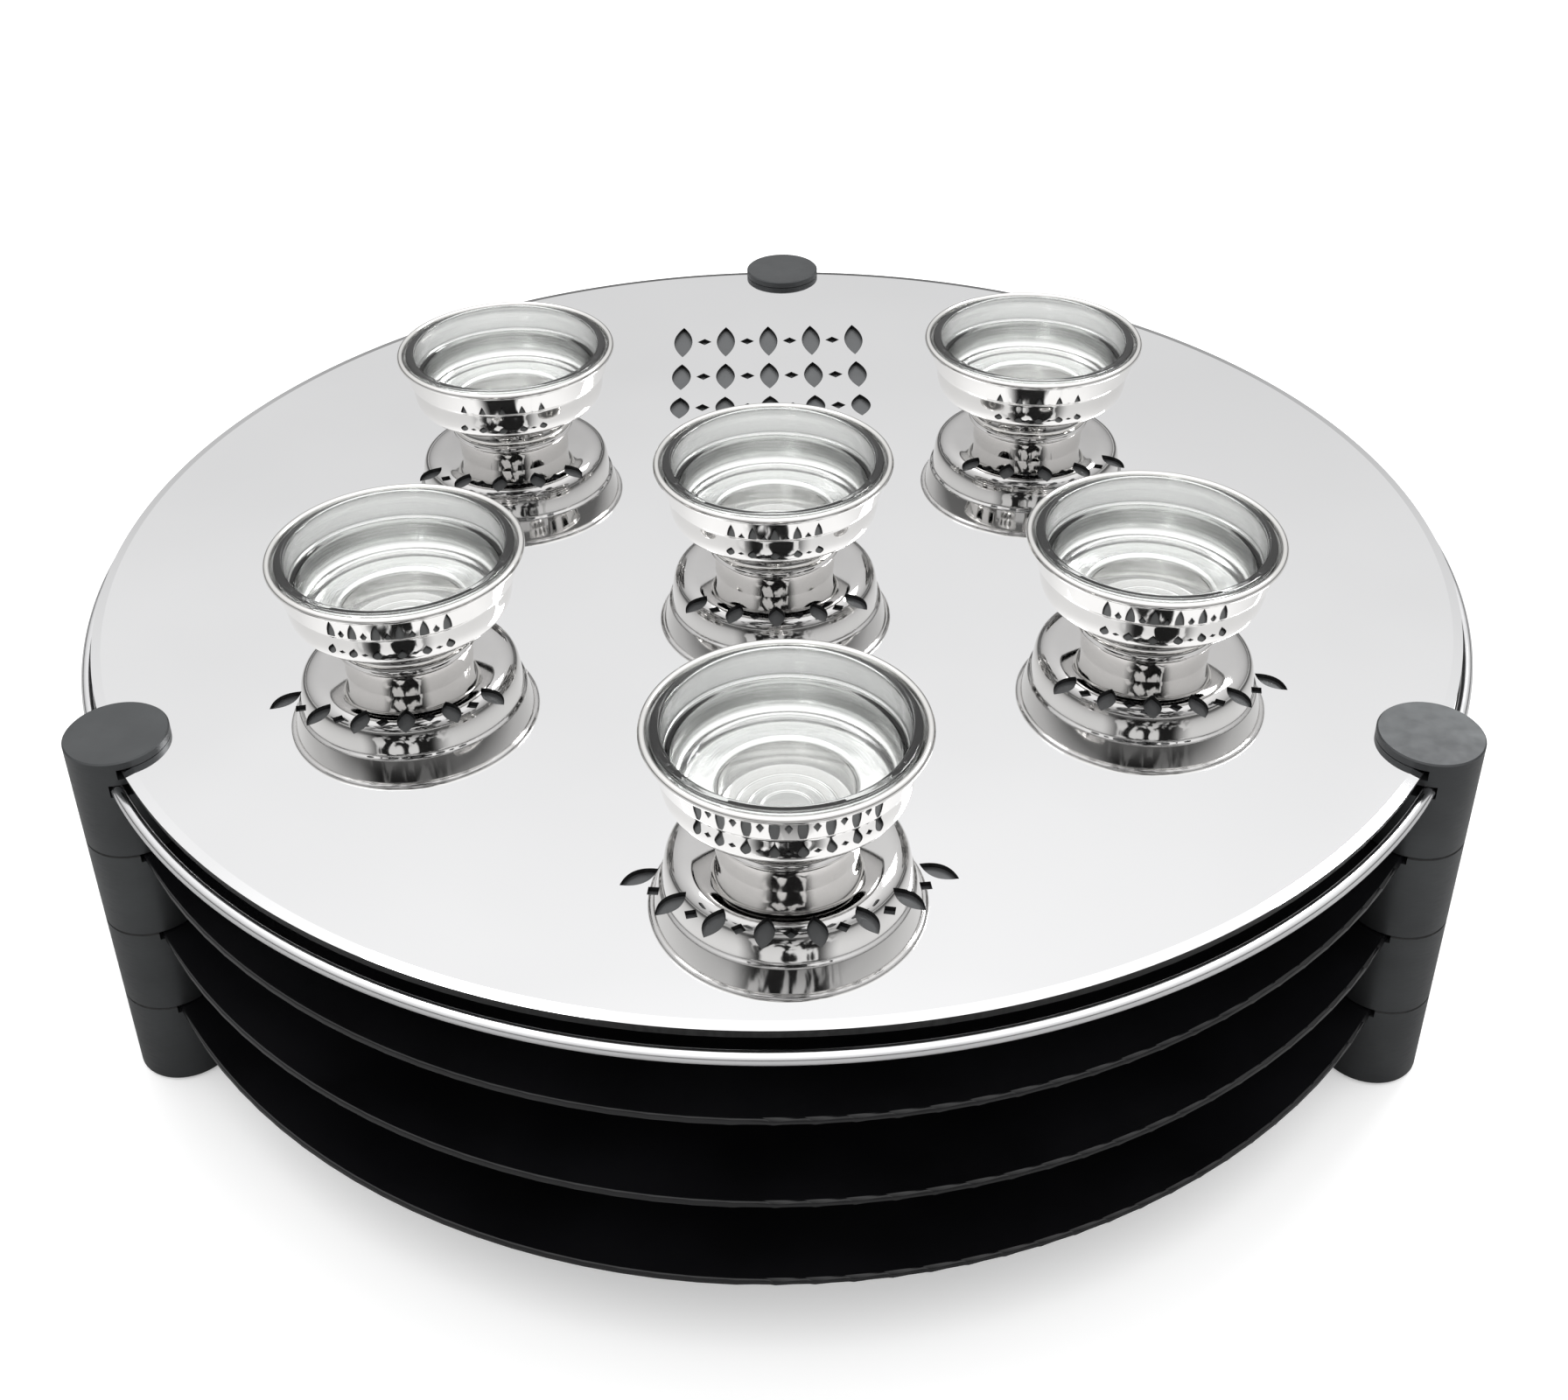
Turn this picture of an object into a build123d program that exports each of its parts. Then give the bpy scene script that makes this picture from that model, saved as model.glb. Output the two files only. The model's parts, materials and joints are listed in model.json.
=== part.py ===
"""A three-tier seder plate: a pierced mirror plate with six lined dishes, over three black shelves.

Millimetres, +Z up, z = 0 under the foot pads. The origin is the middle of the stand's footprint,
so the plate's own axis lies hub_y off it, because the rear post reaches further than the front rim.
"""

import os
from math import cos, radians, sin

from build123d import *

# Mirror plate, its dark backing sheet and the polished hoop below its edge
plate_d = 360.0
plate_t = 1.2
plate_bevel_w = 2.4
plate_bevel_h = 0.35
backing_inset = 0.4
backing_t = 1.4
hoop_outset = 1.7
hoop_wire_d = 3.2
hoop_drop = 5.9

# Shelves for the sheets of matzah
shelf_inset = 0.4
shelf_t = 2.0
shelf_edge_round = 0.7

# Posts, each a stack of turned segments
post_d = 24.6
post_inset = 2.2
segment_h = 25.0
top_segment_h = 28.0
cap_t = 2.1
seam_chamfer = 0.35
post_angles = {"left": 210.0, "right": 330.0, "rear": 90.0}
tiers = ("lower", "middle", "upper")

# Notches and slots that take the discs' edges
notch_reach = 0.8
notch_headroom = 0.1
slot_reach = 1.2
slot_headroom = 0.1
hoop_slot_gap = 0.2
hoop_seat_gap = 0.05

# Foot pads
pad_d = 19.0
pad_t = 1.6
pad_sunk = 1.0
pad_recess_gap = 0.1

# Screws and dowels inside the posts
screw_inset = 6.4
screw_d = 3.0
screw_hole_gap = 0.05
shelf_screw_l = 10.0
screw_head_d = 6.0
screw_head_angle = 90.0
screw_head_gap = 0.1
socket_r = 1.15
socket_depth = 1.1
socket_sides = 6
top_screw_head_d = 5.6
top_screw_head_h = 2.0
counterbore_d = 6.4
counterbore_depth = 8.0
cap_thread = 1.3
blind_end = 0.3
dowel_wall = 2.2
dowel_d = 4.0
dowel_half = 5.0
dowel_end_chamfer = 0.5
dowel_fit = 0.02
dowel_slide = 0.08

# Places of the dishes and the pierced ornament, inset from the plate's edge
front_angle = -90.0
plate_turn = 1.8
front_dish_inset = 64.0
front_dish_turn = 0.5
side_dish_inset = 76.5
side_dish_turn = 66.2
rear_dish_inset = 74.0
rear_dish_turn = 132.0
leaf_outset = 5.3
leaf_step = 16.8
leaf_l = 9.5
leaf_w = 4.4
bud_r = 1.7
bud_sides = 4
rear_row_inset = 56.0
rear_row_leaf_l = 22.0
middle_row_leaf_l = 18.0
near_row_leaf_l = 14.0
row_gap = 5.0
row_leaf_w = 6.0
row_leaf_step = 14.0
row_leaf_count = 5
row_leaf_turn = 90.0
row_bud_r = 2.3

# Dish: spun bowl with a drawn well, and a foot ring soldered round the well
dish_rim_r = 32.2
dish_bead_r = 0.95
dish_bead_z = 24.8
bowl_t = 0.7
band_top_r = 31.1
band_top_z = 24.2
band_low_r = 29.4
band_low_z = 17.9
bowl_top_r = 28.6
bowl_top_z = 17.3
shoulder_r = 27.2
side_lean_share = 0.1
shoulder_z = 9.9
bowl_floor_r = 22.0
bowl_floor_z = 8.0
well_r = 15.8
well_z = 0.5
well_ridge_inner_r = 6.0
well_ridge_middle_r = 8.8
well_ridge_outer_r = 11.6
well_ridge_wire_r = 0.3
foot_fit = 0.05
foot_neck_r = 16.4
foot_waist_r = 16.7
foot_waist_z = 3.0
foot_flange_r = 18.0
foot_flange_h = 1.1
foot_edge_round = 0.35

# Glass liner, its outside kept clear of the bowl and its heights taken from the bowl's floor
liner_gap = 0.5
liner_rim_gap = 0.4
liner_belly_gap = 1.2
liner_base_inset = 3.0
liner_h = 16.9
liner_rim_w = 2.8
liner_rim_round = 1.1
liner_wall = 1.4
liner_belly_wall = 1.8
liner_belly_rise = 0.4
liner_ledge_w = 1.3
liner_ledge_h = 10.1
liner_ledge_fall = 1.0
liner_floor_t = 1.7
liner_floor_inset = 1.0

# One overrun for every cut that passes through a face
overrun = 1.0

# Levels and reaches that follow from the sizes above
plate_r = plate_d / 2
backing_r = plate_r - backing_inset
shelf_r = plate_r - shelf_inset
post_r = post_d / 2
hoop_pitch_r = plate_r + hoop_outset
hoop_wire_r = hoop_wire_d / 2
hoop_outer_r = hoop_pitch_r + hoop_wire_r
screw_r = screw_d / 2
screw_hole_r = screw_r + screw_hole_gap
screw_head_r = screw_head_d / 2
dowel_r = dowel_d / 2
dowel_outset = post_inset - shelf_inset + notch_reach + dowel_wall + dowel_r
post_pitch_r = plate_r - post_inset
hub_y = (hoop_outer_r - post_pitch_r - post_r) / 2
post_bottom_z = pad_t - pad_sunk
seam_z = {tier: post_bottom_z + segment_h * (n + 1) for n, tier in enumerate(tiers)}
top_seam_z = seam_z[tiers[-1]]
post_top_z = top_seam_z + top_segment_h
plate_top_z = post_top_z - cap_t - slot_headroom
plate_low_z = plate_top_z - plate_t
backing_low_z = plate_low_z - backing_t
hoop_z = plate_top_z - hoop_drop
front_dish_r = plate_r - front_dish_inset
side_dish_r = plate_r - side_dish_inset
rear_dish_r = plate_r - rear_dish_inset
leaf_arc_r = dish_rim_r + leaf_outset
rear_row_y = plate_r - rear_row_inset
middle_row_y = rear_row_y - rear_row_leaf_l / 2 - row_gap - middle_row_leaf_l / 2
near_row_y = middle_row_y - middle_row_leaf_l / 2 - row_gap - near_row_leaf_l / 2

# The liner's section, which follows the inside of the bowl
liner_base_z = bowl_floor_z + bowl_t
liner_base_r = bowl_floor_r - liner_base_inset
liner_rim_z = liner_base_z + liner_h
liner_rim_r = dish_rim_r - 2 * dish_bead_r - liner_rim_gap
liner_rim_inner_r = liner_rim_r - liner_rim_w
liner_band_low_r = band_low_r - bowl_t - liner_gap
liner_band_low_z = band_low_z + liner_gap
liner_step_r = bowl_top_r - bowl_t - liner_gap
liner_belly_r = shoulder_r - bowl_t - liner_belly_gap
liner_belly_z = shoulder_z + bowl_t
liner_ledge_outer_r = liner_band_low_r - liner_wall
liner_ledge_inner_r = liner_ledge_outer_r - liner_ledge_w
liner_ledge_z = liner_base_z + liner_ledge_h
liner_floor_z = liner_base_z + liner_floor_t
liner_floor_r = liner_base_r - liner_floor_inset

dish_places = {
    "front": (front_dish_turn, front_dish_r, 8),
    "front_left": (-side_dish_turn, side_dish_r, 6),
    "front_right": (side_dish_turn, side_dish_r, 6),
    "rear_left": (-rear_dish_turn, rear_dish_r, 5),
    "rear_right": (rear_dish_turn, rear_dish_r, 5),
    "centre": (0.0, 0.0, 5),
}

# The three rows of tall leaves behind the centre dish: place and length
leaf_rows = (
    (rear_row_y, rear_row_leaf_l),
    (middle_row_y, middle_row_leaf_l),
    (near_row_y, near_row_leaf_l),
)


def hub(z):
    """Level plane at height z on the plate's axis."""
    return Plane((0, hub_y, z))


def on_post(angle, z):
    """Level plane at height z on a post's axis, its X pointing away from the plate's axis."""
    out_x = cos(radians(angle))
    out_y = sin(radians(angle))
    origin = (post_pitch_r * out_x, hub_y + post_pitch_r * out_y, z)
    return Plane(origin, x_dir=(out_x, out_y, 0), z_dir=(0, 0, 1))


def dish_spot(turn, radius):
    """Centre of a dish from the plate's axis, turned from the front of the pierced pattern."""
    angle = radians(front_angle + plate_turn + turn)
    return radius * cos(angle), radius * sin(angle)


def dish_section(turn, radius):
    """Upright plane through a dish's axis: X is the radius, Y the height above the plate."""
    x, y = dish_spot(turn, radius)
    return Plane((x, hub_y + y, plate_top_z), x_dir=(1, 0, 0), z_dir=(0, -1, 0))


def dish_axis(turn, radius):
    """The dish's own vertical axis."""
    x, y = dish_spot(turn, radius)
    return Axis((x, hub_y + y, 0), (0, 0, 1))


os.makedirs("parts", exist_ok=True)

# Lower, middle and upper post segments: a notch on the inner side holds the shelf's edge
for tier in tiers:
    for side, angle in post_angles.items():
        low_z = seam_z[tier] - segment_h
        with BuildPart() as post:
            with BuildSketch(on_post(angle, low_z)):
                Circle(post_r)
            extrude(amount=segment_h)
            chamfer(post.edges().filter_by(GeomType.CIRCLE), seam_chamfer)
            with BuildSketch(on_post(angle, seam_z[tier] - shelf_t - notch_headroom)):
                with Locations((-post_pitch_r, 0)):
                    Circle(shelf_r + notch_reach)
            extrude(amount=shelf_t + notch_headroom + overrun, mode=Mode.SUBTRACT)
            with BuildSketch(on_post(angle, seam_z[tier])):
                with Locations((-screw_inset, 0)):
                    Circle(screw_hole_r)
            extrude(amount=-shelf_screw_l - notch_headroom - blind_end, mode=Mode.SUBTRACT)
            with BuildSketch(on_post(angle, seam_z[tier])):
                with Locations((dowel_outset, 0)):
                    Circle(dowel_r + dowel_fit)
            extrude(amount=-dowel_half, mode=Mode.SUBTRACT)
            if tier == tiers[0]:
                with BuildSketch(on_post(angle, low_z)):
                    Circle(pad_d / 2 + pad_recess_gap)
                extrude(amount=pad_sunk, mode=Mode.SUBTRACT)
            else:
                with BuildSketch(on_post(angle, low_z)):
                    with Locations((dowel_outset, 0)):
                        Circle(dowel_r + dowel_slide)
                extrude(amount=dowel_half + blind_end, mode=Mode.SUBTRACT)
        post.part.label = f"{tier}_post_{side}"
        export_step(post.part, f"parts/{post.part.label}.step")

# Top post segments: an upper slot for the plate and its backing, a lower one for the hoop
for side, angle in post_angles.items():
    with BuildPart() as post:
        with BuildSketch(on_post(angle, top_seam_z)):
            Circle(post_r)
        extrude(amount=top_segment_h)
        chamfer(post.edges().filter_by(GeomType.CIRCLE), seam_chamfer)
        with BuildSketch(on_post(angle, backing_low_z)):
            with Locations((-post_pitch_r, 0)):
                Circle(plate_r + slot_reach)
        extrude(amount=backing_t + plate_t + slot_headroom, mode=Mode.SUBTRACT)
        with BuildSketch(on_post(angle, hoop_z - hoop_wire_r - hoop_seat_gap)):
            with Locations((-post_pitch_r, 0)):
                Circle(hoop_outer_r + hoop_slot_gap)
        extrude(amount=hoop_wire_d + hoop_seat_gap + slot_headroom, mode=Mode.SUBTRACT)
        with BuildSketch(on_post(angle, top_seam_z)):
            with Locations((-screw_inset, 0)):
                Circle(screw_hole_r)
        extrude(amount=top_segment_h - cap_t + cap_thread + blind_end, mode=Mode.SUBTRACT)
        with BuildSketch(on_post(angle, top_seam_z)):
            with Locations((-screw_inset, 0)):
                Circle(counterbore_d / 2)
        extrude(amount=counterbore_depth, mode=Mode.SUBTRACT)
        with BuildSketch(on_post(angle, top_seam_z)):
            with Locations((dowel_outset, 0)):
                Circle(dowel_r + dowel_slide)
        extrude(amount=dowel_half + blind_end, mode=Mode.SUBTRACT)
    post.part.label = f"top_post_{side}"
    export_step(post.part, f"parts/{post.part.label}.step")

# Foot pads let into the undersides of the lowest segments
with BuildPart() as foot_pads:
    for angle in post_angles.values():
        with BuildSketch(on_post(angle, 0)):
            Circle(pad_d / 2)
    extrude(amount=pad_t)
foot_pads.part.label = "foot_pads"
export_step(foot_pads.part, "parts/foot_pads.step")

# Three shelves, each screwed down onto the notches of its own tier
for tier in tiers:
    shelf_top_z = seam_z[tier] - notch_headroom
    with BuildPart() as shelf:
        with BuildSketch(hub(shelf_top_z)):
            Circle(shelf_r)
        extrude(amount=-shelf_t)
        fillet(shelf.edges(), shelf_edge_round)
        for angle in post_angles.values():
            with Locations(on_post(angle, shelf_top_z)):
                with Locations((-screw_inset, 0)):
                    CounterSinkHole(
                        screw_hole_r,
                        screw_head_r + screw_head_gap,
                        counter_sink_angle=screw_head_angle,
                    )
    shelf.part.label = f"{tier}_shelf"
    export_step(shelf.part, f"parts/{shelf.part.label}.step")

    with BuildPart() as shelf_screws:
        for angle in post_angles.values():
            with BuildSketch(on_post(angle, shelf_top_z)):
                with Locations((-screw_inset, 0)):
                    Circle(screw_r)
            extrude(amount=-shelf_screw_l)
            with BuildSketch(on_post(angle, shelf_top_z)):
                with Locations((-screw_inset, 0)):
                    Circle(screw_head_r)
            extrude(amount=-(screw_head_r - screw_r), taper=screw_head_angle / 2)
            with BuildSketch(on_post(angle, shelf_top_z)):
                with Locations((-screw_inset, 0)):
                    RegularPolygon(socket_r, socket_sides)
            extrude(amount=-socket_depth, mode=Mode.SUBTRACT)
    shelf_screws.part.label = f"{tier}_shelf_screws"
    export_step(shelf_screws.part, f"parts/{shelf_screws.part.label}.step")

    with BuildPart() as dowels:
        for angle in post_angles.values():
            with BuildSketch(on_post(angle, seam_z[tier] - dowel_half)):
                with Locations((dowel_outset, 0)):
                    Circle(dowel_r)
        extrude(amount=dowel_half * 2)
        chamfer(dowels.edges().filter_by(GeomType.CIRCLE), dowel_end_chamfer)
    dowels.part.label = f"{tier}_dowels"
    export_step(dowels.part, f"parts/{dowels.part.label}.step")

# Screws that come up through the top segments and hold the plate under the caps
with BuildPart() as top_screws:
    head_z = top_seam_z + counterbore_depth - top_screw_head_h
    tip_z = plate_top_z + slot_headroom + cap_thread
    for angle in post_angles.values():
        with BuildSketch(on_post(angle, head_z)):
            with Locations((-screw_inset, 0)):
                Circle(top_screw_head_d / 2)
        extrude(amount=top_screw_head_h)
        with BuildSketch(on_post(angle, head_z)):
            with Locations((-screw_inset, 0)):
                Circle(screw_r)
        extrude(amount=tip_z - head_z)
        with BuildSketch(on_post(angle, head_z)):
            with Locations((-screw_inset, 0)):
                RegularPolygon(socket_r, socket_sides)
        extrude(amount=socket_depth, mode=Mode.SUBTRACT)
top_screws.part.label = "top_screws"
export_step(top_screws.part, "parts/top_screws.step")

# Polished hoop, captive in the lower slots of the top segments
with BuildPart() as rim_hoop:
    with BuildSketch(Plane((0, hub_y, hoop_z), x_dir=(1, 0, 0), z_dir=(0, -1, 0))):
        with Locations((hoop_pitch_r, 0)):
            Circle(hoop_wire_r)
    revolve(axis=Axis((0, hub_y, 0), (0, 0, 1)))
rim_hoop.part.label = "rim_hoop"
export_step(rim_hoop.part, "parts/rim_hoop.step")

# Dark backing sheet that shows through the piercings
with BuildPart() as plate_backing:
    with BuildSketch(hub(backing_low_z)):
        Circle(backing_r)
    extrude(amount=backing_t)
    for angle in post_angles.values():
        with Locations(on_post(angle, plate_low_z)):
            with Locations((-screw_inset, 0)):
                Hole(screw_hole_r)
plate_backing.part.label = "plate_backing"
export_step(plate_backing.part, "parts/plate_backing.step")


def leaf(length, width):
    """A pointed leaf with its tips on X."""
    with BuildSketch(mode=Mode.PRIVATE) as sketch:
        with BuildLine():
            ThreePointArc((-length / 2, 0), (0, width / 2), (length / 2, 0))
            ThreePointArc((length / 2, 0), (0, -width / 2), (-length / 2, 0))
        make_face()
    return sketch.sketch


# Mirror plate, pierced with leaves and small lozenges in arcs before the dishes and in rows behind
with BuildPart() as top_plate:
    with BuildSketch(hub(plate_low_z)):
        Circle(plate_r)
    extrude(amount=plate_t)
    upper_edge = top_plate.edges().group_by(Axis.Z)[-1]
    chamfer(upper_edge, length=plate_bevel_h, length2=plate_bevel_w)
    for angle in post_angles.values():
        with Locations(on_post(angle, plate_top_z)):
            with Locations((-screw_inset, 0)):
                Hole(screw_hole_r)
    with BuildSketch(hub(plate_top_z)):
        for turn, radius, leaf_count in dish_places.values():
            first_angle = front_angle + plate_turn - leaf_step * (leaf_count - 1) / 2
            with Locations(dish_spot(turn, radius)):
                with PolarLocations(leaf_arc_r, leaf_count, first_angle, leaf_step * leaf_count):
                    add(leaf(leaf_l, leaf_w))
                between = leaf_count - 1
                first_bud = first_angle + leaf_step / 2
                with PolarLocations(leaf_arc_r, between, first_bud, leaf_step * between):
                    RegularPolygon(bud_r, bud_sides)
        with Locations(Location((0, 0), plate_turn)):
            for row_y, row_leaf_l in leaf_rows:
                with Locations((0, row_y)):
                    with GridLocations(row_leaf_step, 0, row_leaf_count, 1):
                        add(leaf(row_leaf_l, row_leaf_w), rotation=row_leaf_turn)
                    with GridLocations(row_leaf_step, 0, row_leaf_count - 1, 1):
                        RegularPolygon(row_bud_r, bud_sides)
    extrude(amount=-plate_t - overrun, mode=Mode.SUBTRACT)
top_plate.part.label = "top_plate"
export_step(top_plate.part, "parts/top_plate.step")

# Six dishes: spun bowl, soldered foot ring and loose glass liner
for place, (turn, radius, leaf_count) in dish_places.items():
    with BuildPart() as bowl:
        with BuildSketch(dish_section(turn, radius)):
            with BuildLine():
                wall = Polyline(
                    (band_top_r, band_top_z),
                    (band_low_r, band_low_z),
                    (bowl_top_r, bowl_top_z),
                )
                side_curve = Spline(
                    wall @ 1,
                    (shoulder_r, shoulder_z),
                    (bowl_floor_r, bowl_floor_z),
                    tangents=((-side_lean_share, -1), (-1, 0)),
                )
                Polyline(side_curve @ 1, (well_r, bowl_floor_z), (well_r, well_z), (0, well_z))
                inner_wall = Polyline(
                    (band_top_r - bowl_t, band_top_z),
                    (band_low_r - bowl_t, band_low_z),
                    (bowl_top_r - bowl_t, bowl_top_z),
                )
                inner_curve = Spline(
                    inner_wall @ 1,
                    (shoulder_r - bowl_t, shoulder_z + bowl_t / 2),
                    (bowl_floor_r, bowl_floor_z + bowl_t),
                    tangents=((-side_lean_share, -1), (-1, 0)),
                )
                inner_well_r = well_r - bowl_t
                inner_well_z = well_z + bowl_t
                Polyline(
                    inner_curve @ 1,
                    (inner_well_r, bowl_floor_z + bowl_t),
                    (inner_well_r, inner_well_z),
                    (0, inner_well_z),
                )
                Line((0, well_z), (0, inner_well_z))
                Line((band_top_r, band_top_z), (band_top_r - bowl_t, band_top_z))
            make_face()
        revolve(axis=dish_axis(turn, radius))
        with BuildSketch(dish_section(turn, radius)):
            with Locations((dish_rim_r - dish_bead_r, dish_bead_z)):
                Circle(dish_bead_r)
        revolve(axis=dish_axis(turn, radius))
        with BuildSketch(dish_section(turn, radius)):
            for ridge_r in (well_ridge_inner_r, well_ridge_middle_r, well_ridge_outer_r):
                with Locations((ridge_r, inner_well_z)):
                    Circle(well_ridge_wire_r)
        revolve(axis=dish_axis(turn, radius))
    bowl.part.label = f"{place}_bowl"
    export_step(bowl.part, f"parts/{bowl.part.label}.step")

    with BuildPart() as foot_ring:
        with BuildSketch(dish_section(turn, radius)):
            with BuildLine():
                inside = Line((well_r + foot_fit, 0), (well_r + foot_fit, bowl_floor_z))
                top = Line(inside @ 1, (foot_neck_r, bowl_floor_z))
                flare = ThreePointArc(top @ 1, (foot_waist_r, foot_waist_z), (foot_flange_r, foot_flange_h))
                Polyline(flare @ 1, (foot_flange_r, 0), inside @ 0)
            make_face()
        revolve(axis=dish_axis(turn, radius))
        fillet(foot_ring.edges().filter_by(GeomType.CIRCLE).sort_by(SortBy.RADIUS)[-2:], foot_edge_round)
    foot_ring.part.label = f"{place}_foot_ring"
    export_step(foot_ring.part, f"parts/{foot_ring.part.label}.step")

    with BuildPart() as liner:
        with BuildSketch(dish_section(turn, radius)):
            with BuildLine():
                outer = Polyline(
                    (liner_rim_r, liner_rim_z),
                    (liner_band_low_r, liner_band_low_z),
                    (liner_step_r, bowl_top_z),
                )
                belly = Spline(
                    outer @ 1,
                    (liner_belly_r, liner_belly_z),
                    (liner_base_r, liner_base_z),
                    tangents=((-side_lean_share, -1), (-1, 0)),
                )
                Polyline(belly @ 1, (0, liner_base_z), (0, liner_floor_z), (liner_floor_r, liner_floor_z))
                inner_belly = Spline(
                    (liner_floor_r, liner_floor_z),
                    (liner_belly_r - liner_belly_wall, liner_belly_z + liner_belly_rise),
                    (liner_ledge_inner_r, liner_ledge_z - liner_ledge_fall),
                )
                Polyline(
                    inner_belly @ 1,
                    (liner_ledge_outer_r, liner_ledge_z),
                    (liner_rim_inner_r, liner_rim_z),
                    (liner_rim_r, liner_rim_z),
                )
            make_face()
        revolve(axis=dish_axis(turn, radius))
        fillet(liner.edges().group_by(Axis.Z)[-1], liner_rim_round)
    liner.part.label = f"{place}_liner"
    export_step(liner.part, f"parts/{liner.part.label}.step")
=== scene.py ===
# %% [markdown]
# # A three-tier seder plate
#
# The real object is a stack: three black shelves for matzah, held in notches of three turned posts, and a
# mirror plate on top with six small silver dishes, each with a glass liner. The engineering model is loaded
# first, in metres, as a frame, and every finished piece is laid exactly over one of its nodes.

# %% Load the frame
import json
import math

import bmesh
import bpy
from mathutils import Matrix, Vector


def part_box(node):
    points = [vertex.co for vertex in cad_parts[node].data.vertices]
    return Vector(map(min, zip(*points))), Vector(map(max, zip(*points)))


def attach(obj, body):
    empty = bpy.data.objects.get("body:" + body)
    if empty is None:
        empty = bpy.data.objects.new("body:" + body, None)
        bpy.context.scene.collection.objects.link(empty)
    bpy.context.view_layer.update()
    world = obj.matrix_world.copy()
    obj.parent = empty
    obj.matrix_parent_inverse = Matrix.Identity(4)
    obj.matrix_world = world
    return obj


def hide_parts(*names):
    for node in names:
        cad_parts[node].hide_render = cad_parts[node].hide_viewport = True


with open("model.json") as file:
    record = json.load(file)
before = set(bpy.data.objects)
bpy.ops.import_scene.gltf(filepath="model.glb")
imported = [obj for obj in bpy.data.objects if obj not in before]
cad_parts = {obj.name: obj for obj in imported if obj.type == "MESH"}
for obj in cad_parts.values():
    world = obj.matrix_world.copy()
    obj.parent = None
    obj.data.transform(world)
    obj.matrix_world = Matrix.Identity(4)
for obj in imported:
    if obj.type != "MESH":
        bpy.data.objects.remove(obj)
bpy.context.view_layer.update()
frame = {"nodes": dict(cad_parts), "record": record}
MM = 0.001
PLACES = ("front", "front_left", "front_right", "rear_left", "rear_right", "centre")
TIERS = ("lower", "middle", "upper")
SIDES = ("left", "right", "rear")
print("nodes in the frame:", len(frame["nodes"]))

# %% [markdown]
# ## Where things are
#
# Nothing is fitted by eye. Each level and centre is read from the box of the piece that carries it, so that
# the finished pieces follow the frame if a size changes there.

# %% Read levels and centres from the frame
body_of_node = {}
for body, nodes in frame["record"]["behaviour"]["bodies"].items():
    for node in nodes:
        body_of_node[node] = body


def middle(node):
    """Middle of a node's box, in metres."""
    low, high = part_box(node)
    return (Vector(low) + Vector(high)) / 2


plate_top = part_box("top_plate")[1][2]
hub = Vector((middle("top_plate").x, middle("top_plate").y, 0.0))
dish_centre = {place: Vector((*middle(f"{place}_bowl").xy, plate_top)) for place in PLACES}
print("plate top", round(plate_top, 5), "hub", [round(v, 5) for v in hub])

# %% [markdown]
# ## The camera
#
# The photograph looks down at the plate from the front, from close by. The place and the turn were solved
# from the rims, posts and seams of the object. The lens is a little off its middle, which Blender calls
# shift.

# %% Place the camera
CAMERA_AT = Vector((10.23, -448.39, 378.23)) * MM
CAMERA_YAW = math.radians(-1.54)
CAMERA_PITCH = math.radians(31.62)
CAMERA_ROLL = math.radians(-0.93)
CAMERA_LENS = 43.906
CAMERA_SENSOR = 36.0
CAMERA_NEAREST = 0.01
CAMERA_SHIFT = (0.0103, -0.1077)


def camera_matrix():
    """The camera's own axes, as columns, with its place."""
    forward = Vector((
        math.sin(CAMERA_YAW) * math.cos(CAMERA_PITCH),
        math.cos(CAMERA_YAW) * math.cos(CAMERA_PITCH),
        -math.sin(CAMERA_PITCH),
    ))
    right = Vector((math.cos(CAMERA_YAW), -math.sin(CAMERA_YAW), 0.0))
    up = right.cross(forward)
    rolled_right = right * math.cos(CAMERA_ROLL) + up * math.sin(CAMERA_ROLL)
    rolled_up = up * math.cos(CAMERA_ROLL) - right * math.sin(CAMERA_ROLL)
    turn = Matrix((rolled_right, rolled_up, -forward)).transposed().to_4x4()
    return Matrix.Translation(CAMERA_AT) @ turn


camera_data = bpy.data.cameras.new("camera")
camera_data.lens = CAMERA_LENS
camera_data.sensor_width = CAMERA_SENSOR
camera_data.shift_x, camera_data.shift_y = CAMERA_SHIFT
camera_data.clip_start = CAMERA_NEAREST
camera = bpy.data.objects.new("camera", camera_data)
camera.matrix_world = camera_matrix()
bpy.context.scene.collection.objects.link(camera)
bpy.context.scene.camera = camera
print("camera", [round(v, 4) for v in camera.location])

# %% [markdown]
# ## Materials from nodes
#
# Each finish is a small node tree around one Principled shader. What is the same all over a piece, such as
# how metallic it is, is typed on the shader. What varies, such as fine scratches, comes from noise through a
# bump or a narrow range of roughness, at the scale of the real marks.


# %% Helpers for the node trees
METAL = 1.0
NOISE_SPAN = (0.3, 0.7)
TINT_SPAN = (0.35, 0.65)


def add_node(tree, kind, **settings):
    """A node with its properties and unlinked inputs set by name."""
    node = tree.nodes.new(kind)
    for key, value in settings.items():
        if key in node.inputs:
            node.inputs[key].default_value = value
        else:
            setattr(node, key, value)
    return node


def add_maths(tree, operation, *operands, kind="ShaderNodeMath"):
    """The result of a maths node, where each operand is a socket to link or a plain value."""
    node = add_node(tree, kind, operation=operation)
    for socket, operand in zip(node.inputs, operands):
        if isinstance(operand, bpy.types.NodeSocket):
            tree.links.new(operand, socket)
        else:
            socket.default_value = operand
    return node.outputs[0]


def new_finish(name, greys, metallic, roughness):
    """A material whose Principled shader starts from the middle of its two greys and its roughness."""
    finish = bpy.data.materials.new(name)
    finish.use_nodes = True
    shader = finish.node_tree.nodes["Principled BSDF"]
    middle_grey = [(dark + light) / 2 for dark, light in zip(*greys)]
    shader.inputs["Base Color"].default_value = (*middle_grey, 1.0)
    shader.inputs["Metallic"].default_value = metallic
    shader.inputs["Roughness"].default_value = sum(roughness) / 2
    return finish, finish.node_tree, shader


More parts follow.
